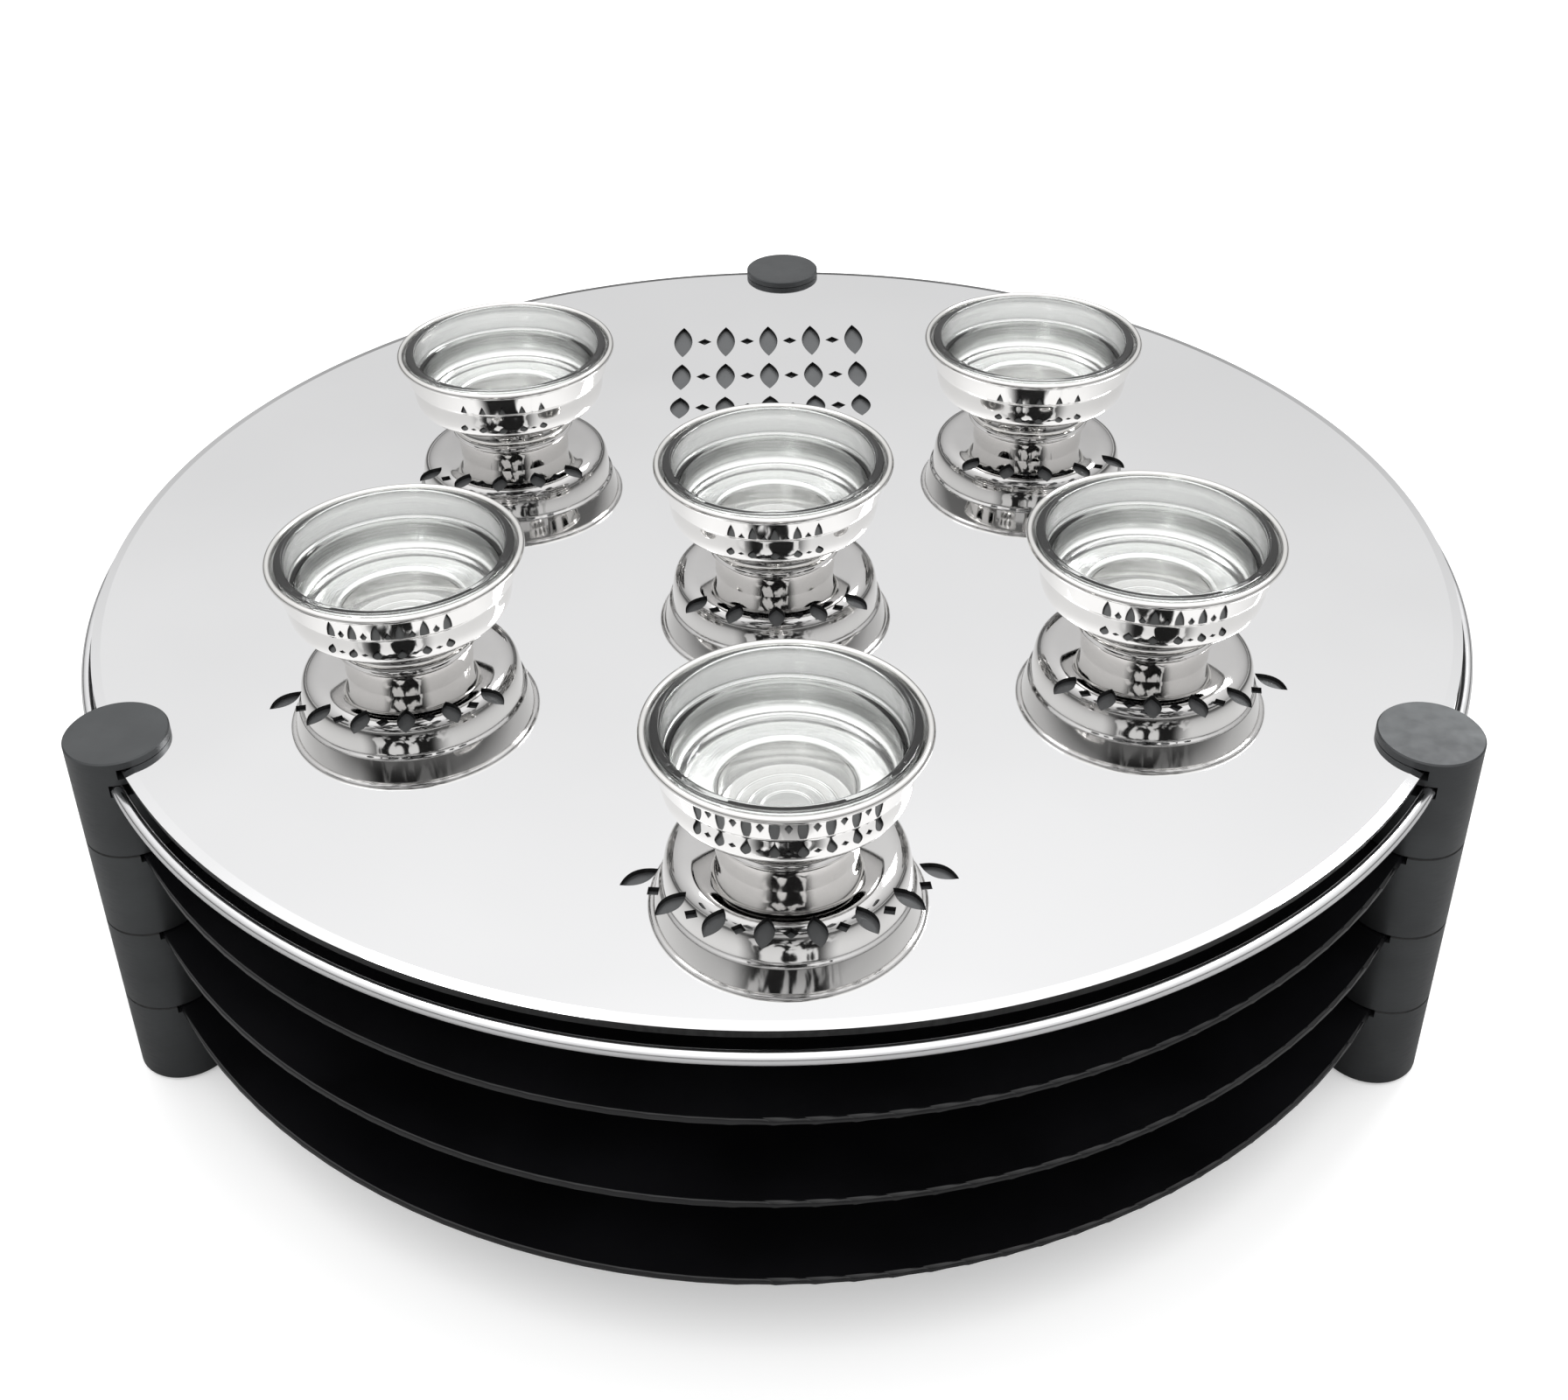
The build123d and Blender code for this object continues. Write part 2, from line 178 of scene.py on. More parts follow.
def object_noise(tree, scale, stretch=(1.0, 1.0, 1.0), detail=3.0):
    """Noise on object coordinates, in cycles per metre, stretched along the axes."""
    place = add_node(tree, "ShaderNodeTexCoord")
    mapping = add_node(tree, "ShaderNodeMapping", Scale=stretch)
    noise = add_node(tree, "ShaderNodeTexNoise", Scale=scale, Detail=detail)
    tree.links.new(place.outputs["Object"], mapping.inputs["Vector"])
    tree.links.new(mapping.outputs["Vector"], noise.inputs["Vector"])
    return noise.outputs["Fac"]


def vary(tree, source, socket, values):
    """Links noise to a socket, from the first value to the second."""
    span = add_node(tree, "ShaderNodeMapRange")
    span.inputs["From Min"].default_value, span.inputs["From Max"].default_value = NOISE_SPAN
    span.inputs["To Min"].default_value, span.inputs["To Max"].default_value = values
    tree.links.new(source, span.inputs["Value"])
    tree.links.new(span.outputs["Result"], socket)


def tint(tree, source, socket, greys):
    """Links noise to a colour socket, from the dark grey to the light one."""
    ramp = add_node(tree, "ShaderNodeValToRGB")
    for element, position, grey in zip(ramp.color_ramp.elements, TINT_SPAN, greys):
        element.position = position
        element.color = (*grey, 1.0)
    tree.links.new(source, ramp.inputs["Fac"])
    tree.links.new(ramp.outputs["Color"], socket)


def roughen(tree, shader, source, strength, distance):
    """Bumps the surface by the noise, distance in metres."""
    bump = add_node(tree, "ShaderNodeBump", Strength=strength, Distance=distance)
    tree.links.new(source, bump.inputs["Height"])
    tree.links.new(bump.outputs["Normal"], shader.inputs["Normal"])


def noisy_finish(name, greys, metallic, roughness, polish, patches=None, waves=None, bump=None):
    """A finish with its roughness from the noise of the polish, its grey from patches, its bump from waves.

    Each noise is given as settings of object_noise. Patches or waves that are left out follow the polish.
    """
    finish, tree, shader = new_finish(name, greys, metallic, roughness)
    polish_noise = object_noise(tree, **polish)
    vary(tree, polish_noise, shader.inputs["Roughness"], roughness)
    if greys[0] != greys[1]:
        patch_noise = object_noise(tree, **patches) if patches else polish_noise
        tint(tree, patch_noise, shader.inputs["Base Color"], greys)
    if bump:
        wave_noise = object_noise(tree, **waves) if waves else polish_noise
        roughen(tree, shader, wave_noise, **bump)
    return finish


# %% [markdown]
# ### Polished metals
#
# The top plate is a mirror-polished sheet. Such a sheet is never quite even: its polish varies a little in
# broad patches. The hoop has a duller polish. The outside of the dishes is silver, a little warmer than the
# plate, and its spun sheet waves very slightly, so that the reflections in it swim.

# %% Mirror plate, hoop and silver
mirror_plate = noisy_finish(
    "mirror_plate",
    greys=((0.806, 0.806, 0.812), (0.844, 0.844, 0.85)),
    metallic=METAL,
    roughness=(0.015, 0.045),
    polish={"scale": 22.0, "detail": 5.0},
    patches={"scale": 9.0},
)
polished_hoop = noisy_finish(
    "polished_hoop",
    greys=((0.80, 0.80, 0.81), (0.85, 0.85, 0.86)),
    metallic=METAL,
    roughness=(0.12, 0.20),
    polish={"scale": 160.0, "detail": 4.0},
    patches={"scale": 30.0},
)
polished_silver = noisy_finish(
    "polished_silver",
    greys=((0.81, 0.80, 0.783), (0.85, 0.84, 0.823)),
    metallic=METAL,
    roughness=(0.02, 0.07),
    polish={"scale": 120.0, "detail": 4.0},
    patches={"scale": 60.0},
    waves={"scale": 90.0, "detail": 2.0},
    bump={"strength": 0.25, "distance": 0.00002},
)
print("polished metals:", mirror_plate.name, polished_hoop.name, polished_silver.name)

# %% [markdown]
# ### Spun inside of the dishes
#
# Inside, the dishes keep the fine circular marks of the tool that spun them. The lathe function below stores
# how far each point lies along the profile, as an attribute, and noise of that one number gives rings that
# stay level on every dish wherever it stands. The colour is also darker on the bottom of the well and
# darkest
# on the band: painted shade.

# %% Spun silver
SPUN_GREYS = ((0.89, 0.885, 0.875), (0.95, 0.945, 0.935))
SPUN_ROUGHNESS = (0.15, 0.25)
SPUN_MARKS_PER_METRE = 3600.0
# Painted shade: heights in millimetres over the plate, and the grey the colour is multiplied by there.
SPUN_PAINTED_SHADE = ((0.0, 0.75), (1.3, 0.75), (1.6, 1.0), (9.5, 1.0), (11.5, 0.96), (17.0, 0.94), (18.0, 0.62))
SPUN_TOP = 25.0


def grey_steps(tree, source, steps):
    """A grey that follows a number between 0 and 1 through steps of number and grey."""
    ramp = add_node(tree, "ShaderNodeValToRGB")
    while len(ramp.color_ramp.elements) < len(steps):
        ramp.color_ramp.elements.new(0.5)
    for element, (number, grey) in zip(ramp.color_ramp.elements, steps):
        element.position = number
        element.color = (grey, grey, grey, 1.0)
    tree.links.new(source, ramp.inputs["Fac"])
    return ramp.outputs["Color"]


def painted_shade_by_height(tree):
    """Painted shade on the inside at each height over the plate, as a grey."""
    place = add_node(tree, "ShaderNodeTexCoord")
    parts = add_node(tree, "ShaderNodeSeparateXYZ")
    height = add_node(tree, "ShaderNodeMapRange")
    height.inputs["From Min"].default_value = plate_top
    height.inputs["From Max"].default_value = plate_top + SPUN_TOP * MM
    tree.links.new(place.outputs["Object"], parts.inputs["Vector"])
    tree.links.new(parts.outputs["Z"], height.inputs["Value"])
    steps = [(level / SPUN_TOP, shade_grey) for level, shade_grey in SPUN_PAINTED_SHADE]
    return grey_steps(tree, height.outputs["Result"], steps)


def spun_finish():
    """Silver with rings along the profile, and painted shade low in the well and on the band."""
    finish, tree, shader = new_finish("spun_silver", SPUN_GREYS, METAL, SPUN_ROUGHNESS)
    along = add_node(tree, "ShaderNodeAttribute", attribute_name="along")
    fine = add_node(tree, "ShaderNodeTexNoise", noise_dimensions="1D", Scale=1.0, Detail=2.0)
    scaled = add_maths(tree, "MULTIPLY", along.outputs["Fac"], SPUN_MARKS_PER_METRE)
    tree.links.new(scaled, fine.inputs["W"])
    vary(tree, fine.outputs["Fac"], shader.inputs["Roughness"], SPUN_ROUGHNESS)
    metal = add_node(tree, "ShaderNodeMix", data_type="RGBA", blend_type="MULTIPLY", Factor=1.0)
    tint(tree, fine.outputs["Fac"], metal.inputs["A"], SPUN_GREYS)
    tree.links.new(painted_shade_by_height(tree), metal.inputs["B"])
    tree.links.new(metal.outputs["Result"], shader.inputs["Base Color"])
    roughen(tree, shader, fine.outputs["Fac"], strength=0.2, distance=0.00002)
    return finish


spun_silver = spun_finish()
print("spun finish nodes:", len(spun_silver.node_tree.nodes))

# %% [markdown]
# ### Glass
#
# The liners are clear pressed glass, faintly green where it is thick. Its faces come from a mould and wave a
# little.

# %% Pressed glass
GLASS_COLOUR = (0.955, 0.965, 0.962)
GLASS_IOR = 1.5
pressed_glass = noisy_finish(
    "pressed_glass",
    greys=(GLASS_COLOUR, GLASS_COLOUR),
    metallic=0.0,
    roughness=(0.0, 0.012),
    polish={"scale": 70.0},
    waves={"scale": 55.0, "detail": 1.0},
    bump={"strength": 0.12, "distance": 0.0001},
)
shader = pressed_glass.node_tree.nodes["Principled BSDF"]
shader.inputs["Transmission Weight"].default_value = 1.0
shader.inputs["IOR"].default_value = GLASS_IOR
print("glass bends light by", GLASS_IOR)

# %% [markdown]
# ### Anodised posts and backing sheet
#
# The posts and the backing sheet are anodised: a dark satin metal with a very fine grain, drawn round the
# post by the lathe. The backing is a little lighter.

# %% Anodising
ANODISED_GREYS = {
    "post_anodising": ((0.068, 0.0705, 0.073), (0.085, 0.089, 0.0915)),
    "backing_anodising": ((0.122, 0.126, 0.129), (0.146, 0.15, 0.154)),
}
post_anodising, backing_anodising = [
    noisy_finish(
        name,
        greys=greys,
        metallic=0.75,
        roughness=(0.36, 0.48),
        polish={"scale": 900.0, "stretch": (0.35, 0.35, 3.0)},
        patches={"scale": 45.0, "detail": 4.0},
        bump={"strength": 0.10, "distance": 0.00004},
    )
    for name, greys in ANODISED_GREYS.items()
]
print("anodised:", ", ".join(ANODISED_GREYS))

# %% [markdown]
# ### Coating, steel, cut edges and rubber
#
# The shelves have a smooth black coating with a faint orange-peel. The screws and dowels are plain steel,
# and the pads under the posts are grained rubber. Edges that a laser cut are dark and streaked, partly from
# the cut and partly as painted shade; the same dark finish is the painted shade in the posts' seams.

# %% Coating, steel, cut edges and rubber
black_coating = noisy_finish(
    "black_coating",
    greys=((0.003, 0.003, 0.0035), (0.006, 0.006, 0.007)),
    metallic=0.0,
    roughness=(0.2, 0.25),
    polish={"scale": 14.0, "detail": 2.0},
    patches={"scale": 25.0},
    waves={"scale": 700.0, "detail": 1.0},
    bump={"strength": 0.06, "distance": 0.00004},
)
plain_steel = noisy_finish(
    "plain_steel",
    greys=((0.44, 0.44, 0.45), (0.56, 0.56, 0.57)),
    metallic=METAL,
    roughness=(0.22, 0.38),
    polish={"scale": 800.0},
    patches={"scale": 300.0},
)
# Dark edge finish: the dull cut, and painted shade on cut walls and in seams.
cut_edge_and_painted_shade = noisy_finish(
    "cut_edge_and_painted_shade",
    greys=((0.012, 0.012, 0.012), (0.03, 0.03, 0.03)),
    metallic=0.5,
    roughness=(0.4, 0.6),
    polish={"scale": 700.0, "stretch": (1.0, 1.0, 0.1)},
)
pad_rubber = noisy_finish(
    "pad_rubber",
    greys=((0.022, 0.022, 0.022), (0.04, 0.04, 0.04)),
    metallic=0.0,
    roughness=(0.7, 0.9),
    polish={"scale": 1200.0, "detail": 4.0},
    bump={"strength": 0.3, "distance": 0.00008},
)
print("materials made:", len(bpy.data.materials))

# %% [markdown]
# ## Posts, shelves and the backing sheet
#
# The frame's own meshes already have every notch, slot and screw hole, but they are loose triangles and
# shade flat. A copy is welded, and its edges are marked sharp only where two faces really meet at an angle,
# so that round walls shade round and chamfers stay crisp.


# %% Welded copies of the frame's meshes
WELD = 0.000002
UPRIGHT = 0.1
LEVEL = 0.95
POST_SHARP = 20.0
SHELF_SHARP = 40.0


def add_piece(name, mesh, node, *finishes):
    """An object at the origin that stands for a node and rides on the node's body."""
    piece = bpy.data.objects.new(name, mesh)
    bpy.context.scene.collection.objects.link(piece)
    painted = [0] * len(mesh.polygons)
    mesh.polygons.foreach_get("material_index", painted)
    mesh.materials.clear()
    for finish in finishes:
        mesh.materials.append(finish)
    mesh.polygons.foreach_set("material_index", painted)
    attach(piece, body_of_node[node])
    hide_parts(node)
    return piece


def upright(face):
    """Whether a face is a wall."""
    return abs(face.normal.z) < UPRIGHT


def at_seam(face):
    """Whether a face is a seam's chamfer, which takes painted shade: a dark finish for the shadow in the
    groove.
    """
    return UPRIGHT < abs(face.normal.z) < LEVEL and face.calc_center_median().z < plate_top


def welded_copy(node, sharp_degrees, finish, dark_finish=None, is_dark=upright):
    """A smooth-shading copy of a node's mesh, sharp at real edges, with some faces in the dark finish that
    paints shade.
    """
    mesh = frame["nodes"][node].data.copy()
    if "custom_normal" in mesh.attributes:
        mesh.attributes.remove(mesh.attributes["custom_normal"])
    shell = bmesh.new()
    shell.from_mesh(mesh)
    bmesh.ops.remove_doubles(shell, verts=shell.verts, dist=WELD)
    for face in shell.faces:
        face.smooth = True
        face.material_index = int(dark_finish is not None and is_dark(face))
    shell.to_mesh(mesh)
    shell.free()
    mesh.set_sharp_from_angle(angle=math.radians(sharp_degrees))
    finishes = (finish, dark_finish) if dark_finish else (finish,)
    return add_piece(f"{node}_finished", mesh, node, *finishes)


# Seam chamfers of the posts and walls of the backing take the dark finish as painted shade.
for side in SIDES:
    for tier in (*TIERS, "top"):
        welded_copy(f"{tier}_post_{side}", POST_SHARP, post_anodising, cut_edge_and_painted_shade, at_seam)
for tier in TIERS:
    welded_copy(f"{tier}_shelf", SHELF_SHARP, black_coating)
welded_copy("plate_backing", POST_SHARP, backing_anodising, cut_edge_and_painted_shade)
top_post = bpy.data.objects["top_post_left_finished"].data
print("triangles in a top post:", len(top_post.polygons))

# %% [markdown]
# ## A lathe
#
# Dishes, foot rings, liners, the hoop, screws, dowels and pads are all turned shapes, so one function makes
# them: it carries a profile of radius and height round an axis. Corners of a dish or a liner are rounded
# first, because a polished corner is what catches the light. A Screw modifier could do the same, but here
# the poles are closed exactly and each point keeps its distance along the profile for the spun marks.


# %% Profile helpers
SOFT_TURN = 25.0
EASED_SHARE = 0.45


def rounded(points, size, steps=4):
    """A profile with its sharp corners eased, size in the profile's units."""
    eased = [points[0]]
    for before, corner, after in zip(points, points[1:], points[2:]):
        corner = Vector(corner)
        back = Vector(before) - corner
        ahead = Vector(after) - corner
        turn = math.degrees(back.angle(-ahead, 0.0))
        if turn < SOFT_TURN:
            eased.append(tuple(corner))
            continue
        start = corner + back.normalized() * min(size, back.length * EASED_SHARE)
        end = corner + ahead.normalized() * min(size, ahead.length * EASED_SHARE)
        for n in range(steps + 1):
            t = n / steps
            eased.append(tuple(start * (1 - t) ** 2 + corner * (2 * t * (1 - t)) + end * t ** 2))
    eased.append(points[-1])
    return eased


def bend(start, through, end, lean_in, lean_out, steps=12):
    """A smooth profile through three points, leaving and arriving along the two directions."""
    knots = [Vector(start), Vector(through), Vector(end)]
    middle_lean = (knots[2] - knots[0]) / 2
    leans = [
        Vector(lean_in).normalized() * (knots[1] - knots[0]).length,
        middle_lean,
        Vector(lean_out).normalized() * (knots[2] - knots[1]).length,
    ]
    points = []
    for n in range(2):
        for step in range(steps):
            t = step / steps
            points.append(tuple(
                knots[n] * (2 * t ** 3 - 3 * t ** 2 + 1)
                + leans[n] * (t ** 3 - 2 * t ** 2 + t)
                + knots[n + 1] * (3 * t ** 2 - 2 * t ** 3)
                + leans[n + 1] * (t ** 3 - t ** 2)
            ))
    points.append(tuple(knots[2]))
    return points


def arc(centre, radius, first, last, steps):
    """Points of an arc between two angles in degrees."""
    angles = [math.radians(first + (last - first) * n / steps) for n in range(steps + 1)]
    return [(centre[0] + radius * math.cos(a), centre[1] + radius * math.sin(a)) for a in angles]


# %% The lathe itself
ON_AXIS = 0.000001
SHARP_DEGREES = 32.0


def shaded(mesh, sharp_degrees):
    """Turns the faces outwards, shades them smooth up to sharp edges, and counts the open edges."""
    shell = bmesh.new()
    shell.from_mesh(mesh)
    bmesh.ops.recalc_face_normals(shell, faces=shell.faces)
    open_edges = sum(1 for e in shell.edges if len(e.link_faces) != 2)
    for face in shell.faces:
        face.smooth = True
    shell.to_mesh(mesh)
    shell.free()
    mesh.set_sharp_from_angle(angle=math.radians(sharp_degrees))
    return open_edges


def turned(
    name, profile, centre, steps, closed=False, sharp_degrees=SHARP_DEGREES, finish_from=None, hexed=()
):
    """A mesh of revolution from (radius, height) in millimetres, about a vertical axis through centre.

    finish_from is the profile index from which faces take the second finish, and hexed lists the rings
    that are drawn as a hexagon.
    """
    verts, faces, inner, along, rings = [], [], [], [], []
    travelled = 0.0
    for n, (radius, height) in enumerate(profile):
        if n:
            travelled += math.dist(profile[n - 1], profile[n]) * MM
        on_axis = radius < ON_AXIS
        ring = []
        for step in range(1 if on_axis else steps):
            angle = 2 * math.pi * step / steps
            reach = radius
            if n in hexed:
                reach = radius * math.cos(math.pi / 6) / math.cos((angle % (math.pi / 3)) - math.pi / 6)
            ring.append(len(verts))
            verts.append((
                centre[0] + reach * MM * math.cos(angle),
                centre[1] + reach * MM * math.sin(angle),
                centre[2] + height * MM,
            ))
            along.append(travelled)
        rings.append(ring)
    pairs = list(zip(rings, rings[1:]))
    if closed:
        pairs.append((rings[-1], rings[0]))
    for n, (low, high) in enumerate(pairs):
        for step in range(steps):
            corners = [
                low[step % len(low)],
                low[(step + 1) % len(low)],
                high[(step + 1) % len(high)],
                high[step % len(high)],
            ]
            face = list(dict.fromkeys(corners))
            if len(face) > 2:
                faces.append(face)
                inner.append(int(finish_from is not None and n >= finish_from))
    mesh = bpy.data.meshes.new(name)
    mesh.from_pydata(verts, [], faces)
    mesh.attributes.new("along", "FLOAT", "POINT").data.foreach_set("value", along)
    mesh.polygons.foreach_set("material_index", inner)
    shaded(mesh, sharp_degrees)
    return mesh


# %% [markdown]
# ## The six dishes
#
# Each dish is spun from thin sheet: a shallow well, a broad shoulder, a step, a flared band and a rolled
# bead. The wall is drawn as a real double wall, 0.7 mm thick, so the rim has its true edge. Its heights are
# measured from the plate's top.

# %% Dish profile
WALL = 0.7
BEAD = ((31.25, 24.8), 0.95)
BAND_TOP = (31.1, 24.2)
BAND_LOW = (29.4, 17.9)
STEP = (28.6, 17.3)
SHOULDER = (27.2, 9.9)
SIDE_LEAN = 0.1
BOWL_FLOOR = (22.0, 8.0)
WELL_R = 15.8
WELL_Z = 0.5
WELL_EASE = 1.6
RIDGES = (11.6, 8.8, 6.0)
RIDGE_R = 0.3
BEAD_FOOT = (31.01, 23.88)
BEAD_ENDS = (-105.0, 215.0)
OUTSIDE_EASE = 0.35
INSIDE_EASE = 0.45
DISH_STEPS = 160
DISH_SHARP = 50.0


def dish_profile():
    """The dish from the axis below, out and up to the bead, and back in along the inside."""
    outside = [(0.0, WELL_Z), (WELL_R, WELL_Z), (WELL_R, BOWL_FLOOR[1])]
    outside += bend(BOWL_FLOOR, SHOULDER, STEP, (1, 0), (SIDE_LEAN, 1))
    outside += [BAND_LOW, BEAD_FOOT]
    outside = rounded(outside, OUTSIDE_EASE)
    bead = arc(*BEAD, *BEAD_ENDS, steps=22)
    inner_floor = BOWL_FLOOR[1] + WALL
    inside = [(BAND_TOP[0] - WALL, BAND_TOP[1]), (BAND_LOW[0] - WALL, BAND_LOW[1])]
    inside += bend(
        (STEP[0] - WALL, STEP[1]),
        (SHOULDER[0] - WALL, SHOULDER[1] + WALL / 2),
        (BOWL_FLOOR[0], inner_floor),
        (-SIDE_LEAN, -1),
        (-1, 0),
    )
    inside += arc((WELL_R - WALL + WELL_EASE, inner_floor - WELL_EASE), WELL_EASE, 90.0, 180.0, steps=8)
    inside.append((WELL_R - WALL, WELL_Z + WALL))
    for ridge in RIDGES:
        inside += arc((ridge, WELL_Z + WALL), RIDGE_R, 0.0, 180.0, steps=6)
    inside.append((0.0, WELL_Z + WALL))
    return outside + bead + rounded(inside, INSIDE_EASE), len(outside) + len(bead)


dish_line, first_inside = dish_profile()
for place in PLACES:
    mesh = turned(
        f"{place}_dish",
        dish_line,
        dish_centre[place],
        DISH_STEPS,
        sharp_degrees=DISH_SHARP,
        finish_from=first_inside,
    )
    add_piece(f"{place}_spun_bowl", mesh, f"{place}_bowl", polished_silver, spun_silver)
print("dish profile points:", len(dish_line), "faces:", len(mesh.polygons))

# %% [markdown]
# ## Foot rings
#
# A turned ring is soldered round the well and flares to a small flange on the plate. It is a closed profile,
# so the last ring of points joins the first.

# %% Foot rings
FOOT_BORE = 15.85
FOOT_FLANGE = ((17.7, 0.0), (18.0, 0.3), (18.0, 0.8), (17.88, 1.02), (17.65, 1.1))
FOOT_CREASE = (17.6, 1.25)
FOOT_WAIST = (16.7, 3.0)
FOOT_NECK = (16.4, 8.0)
CREASE_LEAN = (-1.0, 0.3)
NECK_LEAN = (-0.02, 1.0)
FOOT_STEPS = 128
foot_line = [(FOOT_BORE, 0.0), *FOOT_FLANGE]
foot_line += bend(FOOT_CREASE, FOOT_WAIST, FOOT_NECK, CREASE_LEAN, NECK_LEAN, steps=8)
foot_line.append((FOOT_BORE, FOOT_NECK[1]))
for place in PLACES:
    mesh = turned(f"{place}_foot", foot_line, dish_centre[place], FOOT_STEPS, closed=True)
    add_piece(f"{place}_soldered_foot", mesh, f"{place}_foot_ring", polished_silver)
print("foot profile points:", len(foot_line))

# %% [markdown]
# ## Glass liners
#
# Thick pressed glass with a heavy rounded rim, a small ledge inside and a flat floor. Glass has to be a
# closed solid, or light bends at one face only and it looks like a soap film.

# %% Glass liners
GLASS_BASE = (19.0, 8.8)
GLASS_BELLY = (25.3, 10.7)
GLASS_STEP = (27.4, 17.3)
GLASS_SHOULDER = (28.2, 18.4)
GLASS_RIM = ((29.9, 25.6), (27.1, 25.6))
LEDGE = ((26.8, 18.8), (25.5, 17.8))
INNER_BELLY = (23.5, 11.1)
INNER_FLOOR = (18.0, 10.4)
GLASS_EASE = 1.1
GLASS_SHARP = 60.0


def liner_profile():
    """The liner from the axis below, out and up over the rim, and in to the floor."""
    line = [(0.0, GLASS_BASE[1])]
    line += bend(GLASS_BASE, GLASS_BELLY, GLASS_STEP, (1, 0), (SIDE_LEAN, 1))
    line += [GLASS_SHOULDER, *GLASS_RIM, LEDGE[0]]
    line += bend(LEDGE[1], INNER_BELLY, INNER_FLOOR, (-SIDE_LEAN, -1), (-1, 0))
    line.append((0.0, INNER_FLOOR[1]))
    return rounded(line, GLASS_EASE, steps=6)


liner_line = liner_profile()
for place in PLACES:
    mesh = turned(f"{place}_glass", liner_line, dish_centre[place], DISH_STEPS, sharp_degrees=GLASS_SHARP)
    add_piece(f"{place}_glass_liner", mesh, f"{place}_liner", pressed_glass)
print("liner profile points:", len(liner_line))

# %% [markdown]
# ## The hoop
#
# A polished wire hoop runs through the lower slots of the posts. Its mean radius and wire are read from its
# node's box.

# %% Hoop
WIRE_STEPS = 28
HOOP_STEPS = 320
HOOP_SHARP = 60.0
hoop_low, hoop_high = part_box("rim_hoop")
hoop_wire = (hoop_high[2] - hoop_low[2]) / 2 / MM
hoop_mean = (hoop_high[0] - hoop_low[0]) / 2 / MM - hoop_wire
wire_centre = (hoop_mean, hoop_low[2] / MM + hoop_wire)
last_angle = 360.0 - 360.0 / WIRE_STEPS
hoop_line = arc(wire_centre, hoop_wire, 0.0, last_angle, steps=WIRE_STEPS - 1)
mesh = turned("hoop", hoop_line, hub, HOOP_STEPS, closed=True, sharp_degrees=HOOP_SHARP)
add_piece("polished_rim_hoop", mesh, "rim_hoop", polished_hoop)
print("hoop radius", round(hoop_mean, 2), "wire", round(hoop_wire, 2))

# %% [markdown]
# ## What repeats at the three posts
#
# Screws, dowels and pads repeat at the corners of one triangle. A Geometry Nodes tree makes it once: a
# circle of three points, the single turned screw instanced on them, then Realize Instances and Set Material,
# because the finished model can't hold instances.


# %% A tree that sets one piece at each post
def new_tree(name, inputs):
    """A Geometry Nodes tree with a mesh and these inputs, and its first and last node."""
    tree = bpy.data.node_groups.new(name, "GeometryNodeTree")
    for label, kind in {"Geometry": "Geometry", **inputs}.items():
        tree.interface.new_socket(name=label, in_out="INPUT", socket_type=f"NodeSocket{kind}")
    tree.interface.new_socket(name="Geometry", in_out="OUTPUT", socket_type="NodeSocketGeometry")
    return tree, tree.nodes.new("NodeGroupInput"), tree.nodes.new("NodeGroupOutput")


def post_tree():
    """Geometry Nodes tree: the object's own mesh, repeated at the three posts."""
    inputs = {"Pitch Radius": "Float", "Hub": "Vector", "Finish": "Material"}
    tree, given, result = new_tree("at_each_post", inputs)
    triangle = add_node(tree, "GeometryNodeMeshCircle", Vertices=3)
    turn = add_node(tree, "GeometryNodeTransform", Rotation=(0.0, 0.0, math.pi / 2))
    repeat = add_node(tree, "GeometryNodeInstanceOnPoints")
    real = add_node(tree, "GeometryNodeRealizeInstances")
    paint = add_node(tree, "GeometryNodeSetMaterial")
    link = tree.links.new
    link(given.outputs["Pitch Radius"], triangle.inputs["Radius"])
    link(triangle.outputs["Mesh"], turn.inputs["Geometry"])
    link(given.outputs["Hub"], turn.inputs["Translation"])
    link(turn.outputs["Geometry"], repeat.inputs["Points"])
    link(given.outputs["Geometry"], repeat.inputs["Instance"])
    link(repeat.outputs["Instances"], real.inputs["Geometry"])
    link(real.outputs["Geometry"], paint.inputs["Geometry"])
    link(given.outputs["Finish"], paint.inputs["Material"])
    link(paint.outputs["Geometry"], result.inputs["Geometry"])
    return tree


def through_tree(name, mesh, tree, **values):
    """Runs a mesh through a tree and returns the plain mesh that comes out."""
    carrier = bpy.data.objects.new(name, mesh)
    bpy.context.scene.collection.objects.link(carrier)
    modifier = carrier.modifiers.new("made", "NODES")
    modifier.node_group = tree
    for item in tree.interface.items_tree:
        if item.in_out == "INPUT" and item.name in values:
            modifier[item.identifier] = values[item.name]
    evaluated = carrier.evaluated_get(bpy.context.evaluated_depsgraph_get())
    plain = bpy.data.meshes.new_from_object(evaluated)
    bpy.data.objects.remove(carrier)
    return plain


each_post = post_tree()
pitch_radius = (middle("lower_post_rear") - middle("top_plate")).xy.length
print("post pitch radius", round(pitch_radius, 5))

# %% [markdown]
# ### Screws, dowels and pads
#
# They hide inside the stack and show when a tier is lifted off. The shelf screws have a countersunk head
# with a hexagon socket, the top screws a cylinder head, and both are drawn from the socket's floor
# outwards.

# %% Profiles of the screws, dowels and pads
SCREW_R = 1.5
HEAD_R = 3.0
SOCKET = (1.15, 1.1)
TOP_HEAD = (2.8, 2.0)
EASE = 0.12
DOWEL_R = 2.0
DOWEL_CHAMFER = 0.5
PAD_R = 9.5
PAD_EASE = 0.3


def shelf_screw(length):
    """A countersunk screw, from the floor of its socket out and down to its tip."""
    return [
        (0.0, length - SOCKET[1]),
        (SOCKET[0], length - SOCKET[1]),
        (SOCKET[0], length),
        (HEAD_R - EASE, length),
        (HEAD_R, length - EASE),
        (SCREW_R, length - (HEAD_R - SCREW_R)),
        (SCREW_R, EASE * 3),
        (SCREW_R - EASE * 3, 0.0),
        (0.0, 0.0),
    ]


